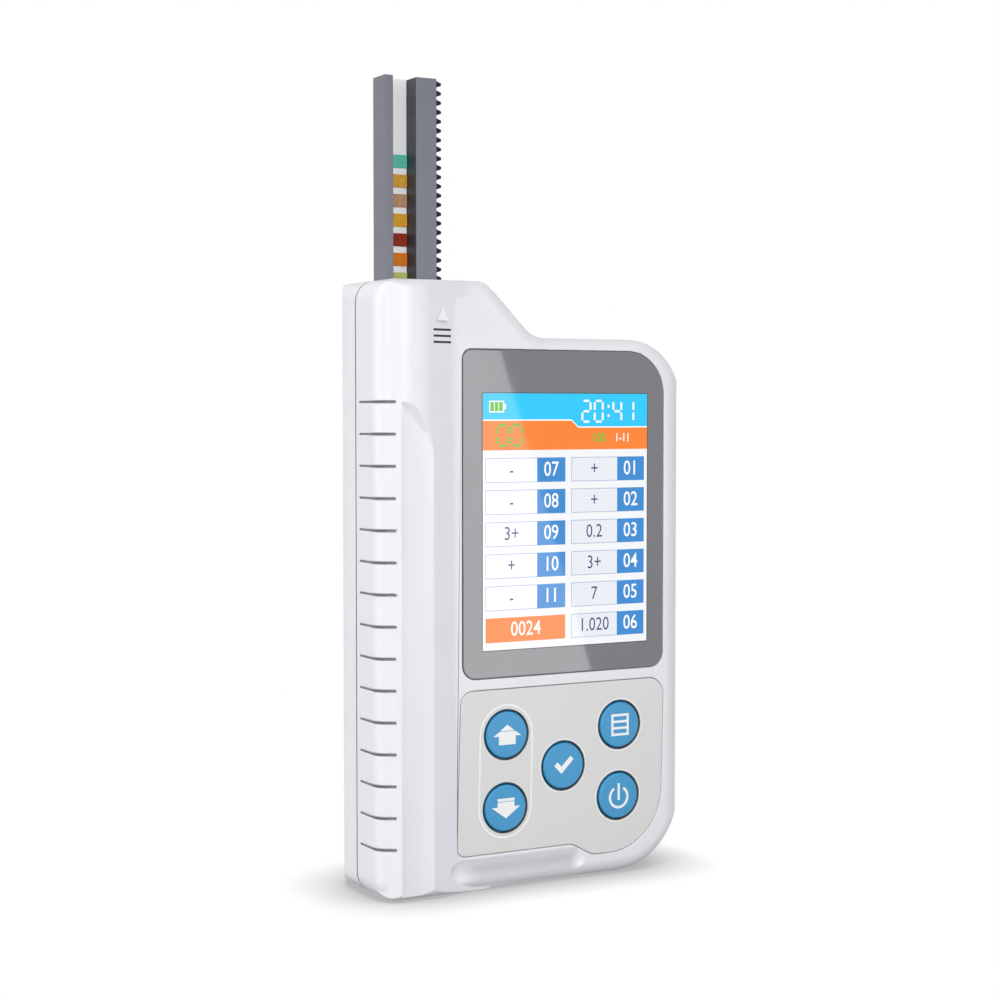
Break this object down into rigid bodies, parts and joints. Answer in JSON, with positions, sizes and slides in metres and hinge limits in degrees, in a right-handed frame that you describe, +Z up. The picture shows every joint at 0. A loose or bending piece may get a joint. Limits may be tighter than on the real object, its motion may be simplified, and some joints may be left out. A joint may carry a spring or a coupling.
{
  "type": "handheld urine analyzer",
  "caption": "Handheld urine analyzer: white two-part case with a ribbed grip, lit screen, round keys and a motor-driven strip tray that comes out of its top.",
  "frame": {"origin": "middle of the case's width and depth, at the height of its base", "axes": "+Z up along the case and the tray, keys and screen facing -Y, grip on the -X side"},
  "size_m": [0.0734, 0.03, 0.1672],
  "materials": {
    "case_white": "satin white moulded case",
    "lens_tint": "clear acrylic lens with a grey printed border",
    "display": "backlit colour display behind its lens",
    "foam_black": "matte foam",
    "keypad_grey": "fine matte light grey",
    "key_blue": "smooth blue with a white sign",
    "snap_steel": "snap domes on a sheet",
    "board_green": "solder mask",
    "chip_black": "moulded black",
    "connector_cream": "moulded cream",
    "flex_amber": "polyimide film",
    "plated_steel": "plated",
    "tray_grey": "grey moulded tray, slight sheen",
    "strip_white": "white film",
    "tile_white": "matte white reference",
    "guide_black": "matte black",
    "gear_white": "acetal",
    "gear_brass": "turned",
    "led_clear": "clear dome",
    "battery_wrap": "shrink wrap",
    "screw_steel": "zinc plated",
    "pad_01": "absorbent reagent pad",
    "pad_02": "absorbent reagent pad",
    "pad_03": "absorbent reagent pad",
    "pad_04": "absorbent reagent pad",
    "pad_05": "absorbent reagent pad",
    "pad_06": "absorbent reagent pad",
    "pad_07": "absorbent reagent pad",
    "pad_08": "absorbent reagent pad",
    "pad_09": "absorbent reagent pad",
    "pad_10": "absorbent reagent pad",
    "pad_11": "absorbent reagent pad"
  },
  "bodies": {
    "case": {"front_shell": "case_white", "back_shell": "case_white", "screen_lens": "lens_tint", "lcd_module": "display", "screen_gasket": "foam_black", "keypad_plate": "keypad_grey", "dome_sheet": "snap_steel", "main_board": "board_green", "board_chips": "chip_black", "display_connector": "connector_cream", "display_flex": "flex_amber", "buzzer": "chip_black", "usb_socket": "plated_steel", "tray_guide": "guide_black", "end_switch": "chip_black", "gear_axle": "plated_steel", "axle_clip": "plated_steel", "tray_motor": "plated_steel", "motor_bracket": "plated_steel", "reader_board": "board_green", "reader_holder": "guide_black", "reader_leds": "led_clear", "reader_sensor": "chip_black", "reader_cable": "flex_amber", "battery_pack": "battery_wrap", "battery_contacts": "gear_brass", "case_screws": "screw_steel", "board_screws": "screw_steel", "bracket_screws": "screw_steel"},
    "tray": {"strip_tray": "tray_grey", "test_strip": "strip_white", "reference_tile": "tile_white", "reagent_pad_01": "pad_01", "reagent_pad_02": "pad_02", "reagent_pad_03": "pad_03", "reagent_pad_04": "pad_04", "reagent_pad_05": "pad_05", "reagent_pad_06": "pad_06", "reagent_pad_07": "pad_07", "reagent_pad_08": "pad_08", "reagent_pad_09": "pad_09", "reagent_pad_10": "pad_10", "reagent_pad_11": "pad_11"},
    "drive_gear": {"drive_gear": "gear_white"},
    "motor_rotor": {"motor_pinion": "gear_brass", "motor_shaft": "plated_steel"},
    "key_up": {"key_up": "key_blue"},
    "key_down": {"key_down": "key_blue"},
    "key_ok": {"key_ok": "key_blue"},
    "key_menu": {"key_menu": "key_blue"},
    "key_power": {"key_power": "key_blue"},
    "battery_door": {"battery_door": "case_white"}
  },
  "joints": [
    {"name": "tray_slide", "type": "slide", "parent": "case", "child": "tray", "axis": [0, 0, 1], "range_m": [-0.042, 0]},
    {"name": "drive_gear_spin", "type": "hinge", "parent": "case", "child": "drive_gear", "pos_m": [-0.01505, 0, 0.07], "axis": [0, 1, 0], "range_deg": [-503, 1]},
    {"name": "motor_spin", "type": "hinge", "parent": "case", "child": "motor_rotor", "pos_m": [-0.0048, 0, 0.07], "axis": [0, 1, 0], "range_deg": [-1, 1206]},
    {"name": "key_up_press", "type": "slide", "parent": "case", "child": "key_up", "axis": [0, 1, 0], "range_m": [0, 0.0006], "stiffness_N_per_m": 400},
    {"name": "key_down_press", "type": "slide", "parent": "case", "child": "key_down", "axis": [0, 1, 0], "range_m": [0, 0.0006], "stiffness_N_per_m": 400},
    {"name": "key_ok_press", "type": "slide", "parent": "case", "child": "key_ok", "axis": [0, 1, 0], "range_m": [0, 0.0006], "stiffness_N_per_m": 400},
    {"name": "key_menu_press", "type": "slide", "parent": "case", "child": "key_menu", "axis": [0, 1, 0], "range_m": [0, 0.0006], "stiffness_N_per_m": 400},
    {"name": "key_power_press", "type": "slide", "parent": "case", "child": "key_power", "axis": [0, 1, 0], "range_m": [0, 0.0006], "stiffness_N_per_m": 400},
    {"name": "battery_door_hinge", "type": "hinge", "parent": "case", "child": "battery_door", "pos_m": [0, 0.0139, 0.011], "axis": [-1, 0, 0], "range_deg": [0, 60]}
  ],
  "couplings": [
    {"joint": "drive_gear_spin", "follows": "tray_slide", "rad_per_m": 208.33},
    {"joint": "motor_spin", "follows": "tray_slide", "rad_per_m": -500}
  ]
}
